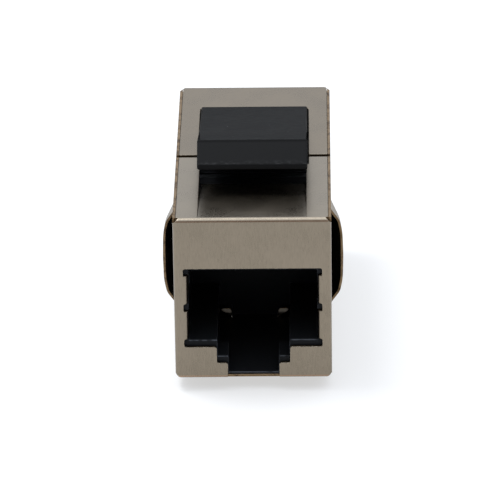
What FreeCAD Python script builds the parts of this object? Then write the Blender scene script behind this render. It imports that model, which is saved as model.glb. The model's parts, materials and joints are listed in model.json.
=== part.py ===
import FreeCAD, Part
import math
import os

# A shielded feed-through keystone module: two folded sheet shells meet at a seam around two
# plastic jack housings, with a board between them, sprung contact wires, and a snap latch on top.
# Millimetres. X is across, Y runs from the front face to the rear, Z is up. The origin lies under
# the middle of the body, on the plane of the fixed lip's lowest edge.
# Depths are measured behind the front face, and heights above the underside of the body.
# The body is a stack: its width, height and length are the sums of what lies inside it.

# Folded sheet
sheet = 0.25
bend_inside = 0.15
corner_cut = 0.5
corner_run = 1.1
nip_width = 0.6
nip_length = 1.1
nip_drop = 0.5
flap_gap = 0.04
seam_setback = 0.9
seam_gap = 0.55

# Jack housings in the shells
housing_gap = 0.05
side_wall = 1.315
sill_thickness = 0.25
roof_thickness = 0.4
rail_gap = 0.05
rail_clearance = 0.25

# Plug opening in a housing
plug_width = 11.87
plug_height = 7.15
plug_depth = 12.5
ledge_rise = 1.65
step_rise = 1.65
step_width = 6.68
slot_width = 4.67
shoulder_depth = 3.0
mouth_chamfer = 0.12

# Opening in the metal face, set back from the plastic edges
ledge_reveal = 0.6
side_reveal = 0.06
top_reveal = 0.24
cut_radius = 0.2

# Contact tabs folded in from the sides of the opening
tab_count = 2
tab_relief = 0.78
tab_length = 4.6
tab_clearance = 0.1

# Ground ears drawn out of the side walls of the front shell, open towards the front
ear_depth = 5.3
ear_length = 2.2
ear_sheet = 0.2
ear_low = 5.25
ear_height = 9.5
ear_stub = 0.4
ear_foot_radius = 0.4
ear_shoulder_in = 1.15
ear_shoulder_out = 0.81
ear_shoulder_radius = 1.5
ear_brow_in = 2.4
ear_brow_out = 1.06
ear_brow_radius = 6.0
ear_crown_out = 1.12
ear_crown_radius = 20.0

# Tongue under the latch, curved down from the front fold
tongue_inset = 0.15
tongue_slit = 0.02
tongue_dip = 2.5
tongue_crease = 1.5
tongue_radius = 48.0
tongue_drop = 2.0
tongue_clearance = 0.25

# Fixed lip lanced from the underside
lip_drop = 1.3
lip_depth = 4.4
lip_length = 4.0
lip_width = 8.0
lip_side_gap = 0.1
lip_bend = 0.5

# Locating tabs bent up from the bottom plate into the latch channel
stop_spread = 2.75
stop_width = 1.05
stop_setback = 0.15
stop_rise = 0.88
stop_tip = 0.42
stop_tip_lean = 21.0
stop_tip_radius = 0.3
stop_stub = 0.6
stop_clearance = 0.1

# Lap tongues that join the two shells
lap_low = 5.0
lap_height = 6.0
lap_length = 3.4
lap_gap = 0.03
lap_joggle = 0.5
lap_stub = 0.3
lap_pocket_gap = 0.06
snap_height = 3.0
snap_rise = 0.22
snap_length = 1.2
snap_setback = 1.5
snap_clearance = 0.1

# Board between the housings
board_thickness = 1.2
board_low = 2.0
board_over_row = 0.6
board_gap = 0.06
hole_clearance = 0.05

# Contact wires
contact_count = 8
contact_pitch = 1.016
contact_width = 0.45
contact_thickness = 0.3
contact_nose_depth = 3.2
contact_bend = 0.6
contact_slope = 19.0
contact_tip = 0.7
contact_tail = 0.35
comb_gap = 0.08
comb_depth = 1.2
comb_drop = 0.6
comb_wall = 1.1

# Carriers that the contacts lie in
carrier_rise = 0.45
carrier_floor = 0.55
carrier_cover = 0.3
carrier_side = 0.72
carrier_gap = 0.05
carrier_ledge = 0.3
nose_clearance = 0.3
groove_gap = 0.05
row_pitch = 0.7

# Latch, with heights above the top of the body
latch_width = 10.2
latch_gap = 0.1
latch_round = 0.15
latch_edge = 0.12
crest_depth = 8.75
crest_height = 4.0
crest_flat = 0.3
catch_lean = 0.15
ramp_run = 1.7
ramp_fall = 1.7
nose_face = 0.55
nose_back = 2.9
arm_front_height = 2.85
arm_rear_height = 0.28
arm_rear_depth = 25.2
arm_thickness = 1.1
arm_root = 1.3

# Knuckle at the latch's root and the cradle that it turns in
knuckle_radius = 0.6
knuckle_gap = 0.05
knuckle_cover = 0.15
neck_reach = 0.8
neck_inset = 0.05
neck_thickness = 0.75
cradle_lip = 0.75
cradle_clearance = 0.3

# Outer radius of a fold
bend = bend_inside + sheet

# Widths, from the middle outwards
plug_half = plug_width / 2
half_width = plug_half + side_wall
flap_half = half_width - sheet - flap_gap
housing_half = half_width - sheet - housing_gap
lap_inner = half_width - 2 * sheet - lap_gap
board_half = lap_inner - lap_pocket_gap - board_gap
tab_face = plug_half + side_reveal
cut_half = tab_face + bend
latch_half = latch_width / 2
window_half = latch_half + latch_gap
rail_in = window_half + rail_clearance
tongue_half = latch_half - tongue_inset
carrier_half = ((contact_count - 1) * contact_pitch + contact_width) / 2 + carrier_side

# Heights, from the underside up
housing_low = sheet + housing_gap
slot_floor = housing_low + sill_thickness
step_height = slot_floor + step_rise
plug_ledge = step_height + ledge_rise
plug_top = plug_ledge + plug_height
carrier_low = plug_top + carrier_rise
front_run = carrier_low + carrier_floor + contact_thickness / 2
rear_run = front_run + row_pitch
housing_top = rear_run + contact_thickness / 2 + carrier_cover + carrier_gap + roof_thickness
body_height = housing_top + tongue_clearance + tongue_drop + sheet
rail_top = body_height - sheet - rail_gap
cut_top = plug_top + top_reveal
cut_ledge = plug_ledge - ledge_reveal
cut_step = step_height - ledge_reveal
tab_height = (cut_top - cut_ledge - (tab_count + 1) * tab_relief) / tab_count
relief_lows = [cut_ledge + i * (tab_relief + tab_height) for i in range(tab_count + 1)]
stop_tip_height = stop_tip * math.cos(math.radians(stop_tip_lean))
stop_tip_run = stop_tip * math.sin(math.radians(stop_tip_lean))
contact_reach = plug_depth + contact_tip
contact_fall = (contact_reach - contact_nose_depth) * math.tan(math.radians(contact_slope))

# Depths, from the front face back
housing_front = sheet + housing_gap
housing_length = plug_depth + comb_depth + comb_wall
body_length = 2 * housing_length + board_thickness
front_y = -body_length / 2
seam_depth = housing_length - seam_setback
rear_depth = body_length - seam_depth - seam_gap
stop_depth = plug_depth - stop_setback
tongue_start = math.radians(tongue_dip)
tongue_turn = math.acos(math.cos(tongue_start) - tongue_drop / tongue_radius) - tongue_start
tongue_end_slope = tongue_start + tongue_turn
crease_reach = tongue_crease * math.tan(tongue_start / 2)
tongue_reach = tongue_radius * math.tan(tongue_turn / 2)
catch_depth = crest_depth + crest_flat + catch_lean
nose_depth = crest_depth - ramp_run
tongue_end = bend + crease_reach + (crease_reach + tongue_reach) * math.cos(tongue_start)
tongue_end += tongue_reach * math.cos(tongue_end_slope)
pivot_depth = arm_rear_depth + neck_reach
pivot_sink = sheet + knuckle_cover + knuckle_radius
neck_top = sheet + knuckle_cover + neck_inset
neck_low = neck_top + neck_thickness

# How far a cutting shape reaches past what it cuts, and the length below which an edge is left out
overcut = 1.0
no_length = 1e-6


def depth(s):
    """Y of a point that lies s behind the front face."""
    return front_y + s


def level(h):
    """Z of a point that lies h above the underside of the body."""
    return lip_drop + h


def point(u, v):
    return FreeCAD.Vector(u, v, 0)


def left_of(direction):
    return point(-direction.y, direction.x)


def way(start, end):
    """Unit direction from one outline point to the next."""
    return (end - start).normalize()


def rounded(points, radii, closed):
    """Lines and arcs through the points, each corner rounded by its radius, as point groups."""
    count = len(points)
    cuts = []
    for i in range(count):
        here = points[i]
        if radii[i] == 0 or (not closed and i in (0, count - 1)):
            cuts.append((here, None, here))
            continue
        d_in = way(points[i - 1], here)
        d_out = way(here, points[(i + 1) % count])
        turn = d_in.getAngle(d_out)
        reach = radii[i] * math.tan(turn / 2)
        to_centre = (d_out - d_in).normalize()
        middle = here + to_centre * (radii[i] / math.cos(turn / 2) - radii[i])
        cuts.append((here - d_in * reach, middle, here + d_out * reach))
    edges = []
    for i in range(count):
        start, middle, end = cuts[i]
        if middle is not None:
            edges.append((start, middle, end))
        if closed or i < count - 1:
            following = cuts[(i + 1) % count][0]
            if (following - end).Length > no_length:
                edges.append((end, following))
    return edges


def prism(edges, place, along):
    """Solid made by drawing the edges in a plane and pushing them along a vector."""
    shapes = []
    for group in edges:
        spots = [place(p) for p in group]
        curve = Part.Arc(*spots) if len(spots) == 3 else Part.LineSegment(*spots)
        shapes.append(curve.toShape())
    return Part.Face(Part.Wire(shapes)).extrude(along)


def prism_x(edges, low, high):
    """Outline drawn in (Y, Z), from one X to another."""
    return prism(edges, lambda p: FreeCAD.Vector(low, p.x, p.y), FreeCAD.Vector(high - low, 0, 0))


def prism_y(edges, low, high):
    """Outline drawn in (X, Z), from one Y to another."""
    return prism(edges, lambda p: FreeCAD.Vector(p.x, low, p.y), FreeCAD.Vector(0, high - low, 0))


def prism_z(edges, low, high):
    """Outline drawn in (X, Y), from one Z to another."""
    return prism(edges, lambda p: FreeCAD.Vector(p.x, p.y, low), FreeCAD.Vector(0, 0, high - low))


def sharp(corners):
    """Closed outline with square corners."""
    return rounded([point(*c) for c in corners], [0] * len(corners), True)


def strip(corners, radii, thickness):
    """Closed outline of a bent strip: the corners run along one side, and it lies to their left."""
    side = [point(*c) for c in corners]
    other = []
    other_radii = []
    last = len(side) - 1
    for i, here in enumerate(side):
        d_in = way(side[i - 1], here) if i else way(here, side[1])
        d_out = way(here, side[i + 1]) if i < last else d_in
        n_in = left_of(d_in)
        n_out = left_of(d_out)
        other.append(here + (n_in + n_out) * (thickness / (1 + n_in.dot(n_out))))
        turns_left = d_in.cross(d_out).z > 0
        grown = radii[i] - thickness if turns_left else radii[i] + thickness
        other_radii.append(grown if radii[i] else 0)
    near = rounded(side, radii, False)
    far = rounded(other[::-1], other_radii[::-1], False)
    return near + [(near[-1][-1], far[0][0])] + far + [(far[-1][-1], near[0][0])]


def block(x0, x1, s0, s1, h0, h1):
    """Box between two X, two depths and two heights."""
    size = (x1 - x0, s1 - s0, h1 - h0)
    return Part.makeBox(*size, FreeCAD.Vector(x0, depth(s0), level(h0)))


def both_sides(shape):
    """The shape and its mirror image across the middle of the body."""
    return [shape, shape.mirror(FreeCAD.Vector(0, 0, 0), FreeCAD.Vector(1, 0, 0))]


def turned_to_rear(shape):
    """The same piece facing the rear port."""
    return shape.mirror(FreeCAD.Vector(0, 0, 0), FreeCAD.Vector(0, 1, 0))


def joined(base, additions):
    return base.multiFuse(additions).removeSplitter()


def face_and_sides(length):
    """Port face with its two side walls folded back."""
    corners = [
        (-half_width, depth(length)),
        (-half_width, front_y),
        (half_width, front_y),
        (half_width, depth(length)),
    ]
    outline = strip(corners, [0, bend, bend, 0], sheet)
    walls = prism_z(outline, level(0), level(body_height))
    fold_rows = [
        block(-flap_half, flap_half, 0, sheet, body_height - bend, body_height + overcut),
        block(-flap_half, flap_half, 0, sheet, -overcut, bend),
    ]
    return walls.cut(fold_rows)


def top_flap(x0, x1, length):
    """Flat flap folded back from the top of the port face."""
    corners = [
        (depth(length), level(body_height)),
        (front_y, level(body_height)),
        (front_y, level(body_height - bend)),
    ]
    return prism_x(strip(corners, [0, bend, 0], sheet), x0, x1)


def bottom_flap(length):
    """Bottom plate folded back from the port face."""
    corners = [
        (front_y, level(bend)),
        (front_y, level(0)),
        (depth(length), level(0)),
    ]
    return prism_x(strip(corners, [0, bend, 0], sheet), -flap_half, flap_half)


def corner_reliefs():
    """Diagonal cuts where three folds meet at each corner of the port face."""
    cuts = []
    for edge, inward, run in ((body_height, -1, bend), (0, 1, corner_run)):
        triangle = sharp([
            (half_width - corner_cut, level(edge)),
            (half_width + overcut, level(edge)),
            (half_width, level(edge + inward * corner_cut)),
        ])
        cuts += both_sides(prism_y(triangle, front_y, depth(run)))
    return cuts


def corner_nips():
    """Top corners of the rear shell nipped off between the rear face, the walls and the top plate."""
    plan = sharp([
        (half_width - nip_width, front_y),
        (half_width + overcut, front_y - overcut),
        (half_width, depth(nip_length)),
    ])
    return both_sides(prism_z(plan, level(body_height - nip_drop), level(body_height + overcut)))


def port_cut():
    """Opening in the port face, stepped for the plug's latch and open to the bottom plate."""
    step_half = step_width / 2 + side_reveal
    slot_half = slot_width / 2 + side_reveal
    right = [
        (slot_half, level(-overcut)),
        (slot_half, level(cut_step)),
        (step_half, level(cut_step)),
        (step_half, level(cut_ledge)),
        (cut_half, level(cut_ledge)),
        (cut_half, level(cut_top)),
    ]
    corners = right + [(-x, z) for x, z in reversed(right)]
    radii = [cut_radius] * len(corners)
    radii[0] = 0
    radii[-1] = 0
    outline = rounded([point(*c) for c in corners], radii, True)
    return prism_y(outline, front_y - overcut, front_y + bend)


def port_tabs():
    """Spring tabs folded back along the sides of the opening."""
    corners = [
        (-cut_half - cut_radius, front_y),
        (-tab_face, front_y),
        (-tab_face, depth(tab_length)),
    ]
    outline = strip(corners, [0, bend, 0], sheet)
    low = relief_lows[0] + tab_relief - bend_inside
    high = relief_lows[-1] + bend_inside
    folded = prism_z(outline, level(low), level(high))
    return both_sides(folded.cut(tab_reliefs()))


def tab_reliefs():
    """Slots below, between and above the left tabs, rounded no deeper than the inside of the fold."""
    outer = -cut_half
    inner = overcut - tab_face
    slots = []
    for low in relief_lows:
        high = low + tab_relief
        corners = [(inner, low), (outer, low), (outer, high), (inner, high)]
        outline = rounded([point(x, level(h)) for x, h in corners], [0, bend_inside, bend_inside, 0], True)
        slots.append(prism_y(outline, front_y - overcut, depth(tab_length + overcut)))
    return slots


def shell_cup(length, flaps):
    """Port face, walls and flaps of one shell, with its opening and tabs."""
    cup = joined(face_and_sides(length), flaps + [bottom_flap(length)])
    cup = cup.cut(corner_reliefs() + [port_cut()])
    return joined(cup, port_tabs())


def tongue():
    """Middle of the front fold, curved down under the latch."""
    crease = bend + crease_reach
    middle = crease + (crease_reach + tongue_reach) * math.cos(tongue_start)
    middle_drop = (crease_reach + tongue_reach) * math.sin(tongue_start)
    end_drop = middle_drop + tongue_reach * math.sin(tongue_end_slope)
    corners = [
        (depth(tongue_end), level(body_height - end_drop)),
        (depth(middle), level(body_height - middle_drop)),
        (depth(crease), level(body_height)),
        (front_y, level(body_height)),
        (front_y, level(body_height - bend)),
    ]
    outline = strip(corners, [0, tongue_radius, tongue_crease, bend, 0], sheet)
    return prism_x(outline, -tongue_half, tongue_half)


def ear_bow():
    """Corners and radii of an ear's bow in (X, Z), along its outer side from the bottom up."""
    rises = [
        (0, -ear_stub, 0),
        (0, 0, ear_foot_radius),
        (ear_shoulder_out, ear_shoulder_in, ear_shoulder_radius),
        (ear_brow_out, ear_brow_in, ear_brow_radius),
        (ear_crown_out, ear_height / 2, ear_crown_radius),
    ]
    falls = [(out, ear_height - up, radius) for out, up, radius in rises[-2::-1]]
    corners = [(half_width + out, level(ear_low + up)) for out, up, radius in rises + falls]
    return corners, [radius for out, up, radius in rises + falls]


def ears():
    """Ears that bow out of the side walls and slope back to them at the rear."""
    corners, radii = ear_bow()
    low = corners[0][1]
    high = corners[-1][1]
    inner = half_width - sheet
    filled_corners = corners + [(inner, high), (inner, low)]
    filled = rounded([point(*c) for c in filled_corners], radii + [0, 0], True)
    end = ear_depth + ear_length
    outermost = (half_width + 2 * ear_crown_out, depth(end - 2 * ear_length))
    foot = (half_width, depth(end))
    tail = (half_width, depth(end + ear_stub))
    front = depth(ear_depth)
    rear = depth(end + ear_stub)
    slope = prism_z(strip([outermost, foot, tail], [0, bend, 0], ear_sheet), low, high)
    under_slope = sharp([(inner, front), (outermost[0], front), outermost, foot, tail, (inner, rear)])
    bow = prism_y(strip(corners, radii, ear_sheet), front, rear)
    back = slope.common(prism_y(filled, front, rear))
    return both_sides(bow.common(prism_z(under_slope, low, high)).fuse(back))


def ear_windows():
    """Side wall taken away where the ears are drawn out of it."""
    low = ear_low - ear_stub
    high = ear_low + ear_height + ear_stub
    end = ear_depth + ear_length + ear_stub
    return both_sides(block(housing_half, half_width + overcut, ear_depth, end, low, high))


def lip_strip():
    """Fixed lip bent down from the bottom plate, its free edge towards the rear."""
    run = math.sqrt(lip_length ** 2 - lip_drop ** 2)
    corners = [
        (depth(lip_depth - lip_bend), level(0)),
        (depth(lip_depth), level(0)),
        (depth(lip_depth + run), 0),
    ]
    return prism_x(strip(corners, [0, lip_bend, 0], sheet), -lip_width / 2, lip_width / 2)


def lip_window():
    """Opening left in the bottom plate by the lip, a little wider along its free sides."""
    half = lip_width / 2
    end = lip_depth + lip_length
    return [
        block(-half, half, lip_depth - lip_bend, end, -overcut, sheet),
        block(-half - lip_side_gap, half + lip_side_gap, lip_depth, end, -overcut, sheet),
    ]


def stop_strips():
    """Small tabs bent up from the bottom plate at the rear of the latch channel."""
    corners = [
        (depth(stop_depth - stop_stub), level(0)),
        (depth(stop_depth), level(0)),
        (depth(stop_depth), level(stop_rise)),
        (depth(stop_depth + stop_tip_run), level(stop_rise + stop_tip_height)),
    ]
    x0 = stop_spread - stop_width / 2
    x1 = stop_spread + stop_width / 2
    bent = prism_x(strip(corners, [0, bend, bend_inside, 0], sheet), x0, x1)
    low = level(-overcut)
    high = level(stop_rise + stop_tip_height)
    front_view = [point(x0, low), point(x1, low), point(x1, high), point(x0, high)]
    trim = rounded(front_view, [0, 0, stop_tip_radius, stop_tip_radius], True)
    return both_sides(bent.common(prism_y(trim, front_y, depth(seam_depth))))


def stop_windows():
    """Openings left in the bottom plate by those tabs."""
    x0 = stop_spread - stop_width / 2
    start = stop_depth - stop_stub
    end = stop_depth + stop_rise + stop_tip
    return both_sides(block(x0, x0 + stop_width, start, end, -overcut, sheet))


def lap_tongues():
    """Tongues of the front shell's side walls, stepped in to slide inside the rear shell."""
    inset = lap_inner + sheet
    start = seam_depth - lap_joggle
    corners = [
        (half_width, depth(start - lap_stub)),
        (half_width, depth(start)),
        (inset, depth(seam_depth)),
        (inset, depth(seam_depth + lap_length)),
    ]
    outline = strip(corners, [0, bend, bend_inside, 0], sheet)
    tongues = both_sides(prism_z(outline, level(lap_low), level(lap_low + lap_height)))
    wedge = sharp([
        (inset - sheet / 2, depth(seam_depth + snap_setback)),
        (inset + snap_rise, depth(seam_depth + snap_setback)),
        (inset - sheet / 2, depth(seam_depth + snap_setback + snap_length)),
    ])
    low = level(lap_low + (lap_height - snap_height) / 2)
    return tongues + both_sides(prism_z(wedge, low, low + snap_height))


def lap_notches():
    """Side wall taken away where the tongues step in."""
    start = seam_depth - lap_joggle - lap_stub
    end = seam_depth + overcut
    return both_sides(block(housing_half, half_width + overcut, start, end, lap_low, lap_low + lap_height))


def snap_windows():
    """Openings in the rear shell's side walls that the snap wedges spring into."""
    low = lap_low + (lap_height - snap_height) / 2 - snap_clearance
    start = seam_depth + snap_setback - snap_clearance
    end = seam_depth + snap_setback + snap_length + snap_clearance
    high = low + snap_height + 2 * snap_clearance
    return both_sides(block(housing_half, half_width + overcut, start, end, low, high))


def front_shell():
    """Front half of the shield, with the ears, the tongue, the lip and the lap tongues."""
    fold = top_flap(-flap_half, flap_half, bend)
    strips = both_sides(top_flap(tongue_half + tongue_slit, flap_half, seam_depth))
    shell = shell_cup(seam_depth, [fold, tongue()] + strips)
    latch_room = block(-window_half, window_half, tongue_end, seam_depth + overcut,
                       rail_top, body_height + overcut)
    openings = ear_windows() + lip_window() + stop_windows() + lap_notches() + [latch_room]
    return joined(shell.cut(openings), ears() + [lip_strip()] + stop_strips() + lap_tongues())


def rear_shell():
    """Rear half of the shield, with the latch window in its top."""
    cup = shell_cup(rear_depth, [top_flap(-flap_half, flap_half, rear_depth)])
    shell = turned_to_rear(cup.cut(corner_nips()))
    window_end = arm_rear_depth + latch_gap
    window = block(-window_half, window_half, seam_depth, window_end, rail_top, body_height + overcut)
    return shell.cut([window] + snap_windows())


def contact_x(i):
    """X of the middle of a contact."""
    return (i - (contact_count - 1) / 2) * contact_pitch


def contact(i, run):
    """One bent contact wire: tail through the board, run along the carrier, and sprung leg."""
    upper = level(run + contact_thickness / 2)
    corners = [
        (depth(housing_length + board_thickness + contact_tail), upper),
        (depth(contact_nose_depth), upper),
        (depth(contact_nose_depth), level(plug_top)),
        (depth(contact_reach), level(plug_top - contact_fall)),
    ]
    outline = strip(corners, [0, contact_bend, contact_bend, 0], contact_thickness)
    x = contact_x(i)
    return prism_x(outline, x - contact_width / 2, x + contact_width / 2)


def carrier_top(run):
    return run + contact_thickness / 2 + carrier_cover


def contact_carrier(run):
    """Grooved block that the contacts lie in and bend round."""
    start = contact_nose_depth + contact_bend
    end = housing_length - contact_tail - carrier_gap
    half = carrier_half
    body = block(-half, half, start, end, carrier_low, carrier_top(run))
    half_groove = contact_width / 2 + groove_gap
    grooves = []
    for i in range(contact_count):
        x = contact_x(i)
        floor = run - contact_thickness / 2
        grooves.append(block(x - half_groove, x + half_groove, start - overcut, end + overcut,
                             floor, run + overcut))
    return body.cut(grooves)


def circuit_board():
    """Upright board between the housings, with a row of slots for each set of contacts."""
    top = rear_run + contact_thickness / 2 + board_over_row
    board = block(-board_half, board_half, housing_length, housing_length + board_thickness, board_low, top)
    half_wide = contact_width / 2 + hole_clearance
    half_tall = contact_thickness / 2 + hole_clearance
    slots = []
    for run in (front_run, rear_run):
        for i in range(contact_count):
            x = contact_x(i)
            end = housing_length + board_thickness + overcut
            slots.append(block(x - half_wide, x + half_wide, housing_length - overcut, end,
                               run - half_tall, run + half_tall))
    return board.cut(slots)


def housing_block():
    """Outside of a jack housing, eased where it lies in the folds of the shell."""
    ease = bend_inside
    plan = sharp([
        (-housing_half, depth(housing_length)),
        (-housing_half, depth(housing_front + ease)),
        (-housing_half + ease, depth(housing_front)),
        (housing_half - ease, depth(housing_front)),
        (housing_half, depth(housing_front + ease)),
        (housing_half, depth(housing_length)),
    ])
    body = prism_z(plan, level(housing_low), level(rail_top))
    trough = block(-rail_in, rail_in, -overcut, housing_length + overcut, housing_top, rail_top + overcut)
    eases = []
    for edge, inward in ((housing_low, 1), (rail_top, -1)):
        outline = sharp([
            (depth(housing_front), level(edge)),
            (depth(housing_front), level(edge + inward * ease)),
            (depth(housing_front + ease), level(edge)),
        ])
        eases.append(prism_x(outline, -half_width, half_width))
    return body.cut([trough] + eases)


def plug_space():
    """Everything the plug and its latch need open in a housing."""
    step_half = step_width / 2
    slot_half = slot_width / 2
    right = [
        (slot_half, level(slot_floor)),
        (slot_half, level(step_height)),
        (step_half, level(step_height)),
        (step_half, level(plug_ledge)),
        (plug_half, level(plug_ledge)),
        (plug_half, level(plug_top)),
    ]
    left = [(-x, z) for x, z in reversed(right)]
    shoulder_end = housing_front + shoulder_depth
    cuts = [
        prism_y(sharp(right + left), front_y, depth(shoulder_end)),
        block(-plug_half, plug_half, shoulder_end - housing_gap, plug_depth, plug_ledge, plug_top),
        block(-step_half, step_half, shoulder_end, plug_depth, slot_floor, plug_ledge + housing_gap),
    ]
    sills = [(step_half, plug_half, plug_ledge), (slot_half, step_half, step_height)]
    for x0, x1, height in sills:
        cuts += both_sides(sill_chamfer(x0, x1, height))
    return cuts + [sill_chamfer(-slot_half, slot_half, slot_floor)]


def sill_chamfer(x0, x1, height):
    """Slanted lead-in along the front edge of a ledge."""
    outline = sharp([
        (depth(housing_front), level(height)),
        (depth(housing_front), level(height - mouth_chamfer)),
        (depth(housing_front + mouth_chamfer), level(height)),
    ])
    return prism_x(outline, x0, x1)


def contact_space(run):
    """Pocket for a carrier, the opening under it, and the comb for the contacts' free ends."""
    half = carrier_half + carrier_gap
    start = contact_nose_depth - nose_clearance
    roof = carrier_top(run) + carrier_gap
    open_half = half - carrier_ledge
    tails = housing_length - contact_tail - 2 * carrier_gap
    tail_roof = carrier_top(rear_run) + carrier_gap
    cuts = [
        block(-half, half, start, housing_length + overcut, carrier_low, roof),
        block(-open_half, open_half, start, plug_depth, plug_top - housing_gap, carrier_low + carrier_gap),
        block(-half, half, tails, housing_length + overcut, carrier_low, tail_roof),
    ]
    half_slot = contact_width / 2 + comb_gap
    low = plug_top - contact_fall - comb_drop
    for i in range(contact_count):
        x = contact_x(i)
        cuts.append(block(x - half_slot, x + half_slot, plug_depth - housing_gap, plug_depth + comb_depth,
                          low, carrier_low + carrier_gap))
    return cuts


def shell_clearances():
    """Slots for the folded-in tabs and the locating tabs of a shell."""
    outer = cut_half + tab_clearance
    tab_end = tab_length + tab_clearance
    slots = []
    for relief_low in relief_lows[:-1]:
        low = relief_low + tab_relief - tab_clearance
        high = relief_low + tab_relief + tab_height + tab_clearance
        slots += both_sides(block(plug_half - housing_gap, outer, 0, tab_end, low, high))
    x0 = stop_spread - stop_width / 2 - stop_clearance
    x1 = stop_spread + stop_width / 2 + stop_clearance
    end = stop_depth + stop_tip_run + stop_clearance
    top = stop_rise + stop_tip_height + sheet
    stop_slot = block(x0, x1, stop_depth - stop_stub, end, 0, top)
    return slots + both_sides(stop_slot)


def lap_pockets():
    """Shallow pockets in the housings' sides that the lap tongues lie in."""
    inner = lap_inner - lap_pocket_gap
    start = seam_depth - lap_joggle - lap_stub - lap_pocket_gap
    end = seam_depth + lap_length + lap_pocket_gap
    low = lap_low - lap_pocket_gap
    high = lap_low + lap_height + lap_pocket_gap
    return both_sides(block(inner, half_width, start, end, low, high))


def jack_housing(run):
    """One jack housing, facing the front."""
    return housing_block().cut(plug_space() + contact_space(run) + shell_clearances())


def along_pivot(radius, half_length):
    """Cylinder about the latch's pivot."""
    centre = FreeCAD.Vector(-half_length, depth(pivot_depth), level(body_height - pivot_sink))
    return Part.makeCylinder(radius, 2 * half_length, centre, FreeCAD.Vector(1, 0, 0))


def latch_cradle():
    """Seat at the rear of the rear housing that the latch's knuckle turns in."""
    half = rail_in
    end = body_length - housing_front
    floor = body_height - neck_low - cradle_clearance
    socket = knuckle_radius + knuckle_gap
    centre = body_height - pivot_sink
    front_part = block(-half, half, pivot_depth - cradle_lip, end, housing_top, floor)
    rear_part = block(-half, half, pivot_depth, end - bend_inside, housing_top, rail_top)
    mouth = block(-window_half, window_half, pivot_depth - overcut, pivot_depth + socket,
                  centre, body_height)
    return front_part.fuse(rear_part).cut([along_pivot(socket, window_half), mouth])


def rear_housing():
    """Rear jack housing, with the latch's cradle on top."""
    housing = turned_to_rear(jack_housing(rear_run))
    return joined(housing, [latch_cradle()]).cut(lap_pockets())


def latch():
    """Snap latch: wedge-shaped head on an arm that rises from its knuckle."""
    fall = (arm_front_height - arm_rear_height) / (arm_rear_depth - catch_depth)

    def underside(s):
        return arm_front_height - (s - catch_depth) * fall - arm_thickness

    nose_high = crest_height - ramp_fall
    head_end = nose_depth + nose_back
    root = arm_rear_depth - arm_root
    profile = [
        (nose_depth, nose_high - nose_face, latch_round),
        (nose_depth, nose_high, latch_round),
        (crest_depth, crest_height, latch_round),
        (crest_depth + crest_flat, crest_height, latch_round),
        (catch_depth, arm_front_height, latch_round),
        (arm_rear_depth, arm_rear_height, latch_round),
        (arm_rear_depth, -neck_top, 0),
        (pivot_depth, -neck_top, 0),
        (pivot_depth, -neck_low, 0),
        (arm_rear_depth - neck_thickness / 2, -neck_low, latch_round),
        (root, underside(root), arm_thickness),
        (head_end, underside(head_end), arm_thickness),
    ]
    corners = [point(depth(s), level(body_height + h)) for s, h, radius in profile]
    outline = rounded(corners, [radius for s, h, radius in profile], True)
    arm = prism_x(outline, -latch_half, latch_half)
    sides = [e for e in arm.Edges if abs(abs(e.CenterOfMass.x) - latch_half) < no_length]
    eased = [e for e in sides if e.BoundBox.YMax < depth(arm_rear_depth - arm_root)]
    return arm.makeFillet(latch_edge, eased).fuse(along_pivot(knuckle_radius, latch_half)).removeSplitter()


def write(name, shape):
    shape.exportStep(os.path.join("parts", name + ".step"))


os.makedirs("parts", exist_ok=True)
write("front_shell", front_shell())
write("rear_shell", rear_shell())
write("front_housing", jack_housing(front_run).cut(lap_pockets()))
write("rear_housing", rear_housing())
write("latch", latch())
write("circuit_board", circuit_board())
write("front_contact_carrier", contact_carrier(front_run))
write("rear_contact_carrier", turned_to_rear(contact_carrier(rear_run)))
for number in range(contact_count):
    write("front_contact_%d" % (number + 1), contact(number, front_run))
    write("rear_contact_%d" % (number + 1), turned_to_rear(contact(number, rear_run)))
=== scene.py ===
import json
import math

import bmesh
import bpy
from mathutils import Matrix, Vector
from mathutils.bvhtree import BVHTree


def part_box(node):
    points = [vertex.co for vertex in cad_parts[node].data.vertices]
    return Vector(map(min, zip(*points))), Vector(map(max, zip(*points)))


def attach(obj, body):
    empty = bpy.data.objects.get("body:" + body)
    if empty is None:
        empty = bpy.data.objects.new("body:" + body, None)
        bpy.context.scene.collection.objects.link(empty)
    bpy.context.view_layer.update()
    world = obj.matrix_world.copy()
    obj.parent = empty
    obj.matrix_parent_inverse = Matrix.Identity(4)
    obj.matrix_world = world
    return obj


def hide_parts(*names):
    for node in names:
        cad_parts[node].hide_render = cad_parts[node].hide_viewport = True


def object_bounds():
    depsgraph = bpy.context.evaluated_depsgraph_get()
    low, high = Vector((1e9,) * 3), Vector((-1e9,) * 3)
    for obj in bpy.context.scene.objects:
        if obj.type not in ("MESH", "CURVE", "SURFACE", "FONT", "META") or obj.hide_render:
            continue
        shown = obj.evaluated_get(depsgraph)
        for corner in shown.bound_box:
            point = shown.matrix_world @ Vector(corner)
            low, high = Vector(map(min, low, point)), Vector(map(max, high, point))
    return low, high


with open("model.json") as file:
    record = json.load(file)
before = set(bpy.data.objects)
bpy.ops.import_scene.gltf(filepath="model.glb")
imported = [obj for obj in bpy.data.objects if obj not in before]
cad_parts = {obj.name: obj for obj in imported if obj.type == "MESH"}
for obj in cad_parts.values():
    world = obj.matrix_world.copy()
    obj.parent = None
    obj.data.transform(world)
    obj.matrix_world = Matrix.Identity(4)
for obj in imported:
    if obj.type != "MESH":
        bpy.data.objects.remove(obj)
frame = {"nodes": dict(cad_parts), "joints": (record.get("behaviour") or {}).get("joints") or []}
cad_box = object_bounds()

bl_info = {
    "name": "Shielded keystone module",
    "version": (1, 0, 0),
    "blender": (4, 5, 0),
    "location": "View3D > Sidebar > Keystone",
    "description": "Dresses a shielded feed-through keystone module and sets its studio",
    "category": "Object",
}

MM = 0.001

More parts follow.
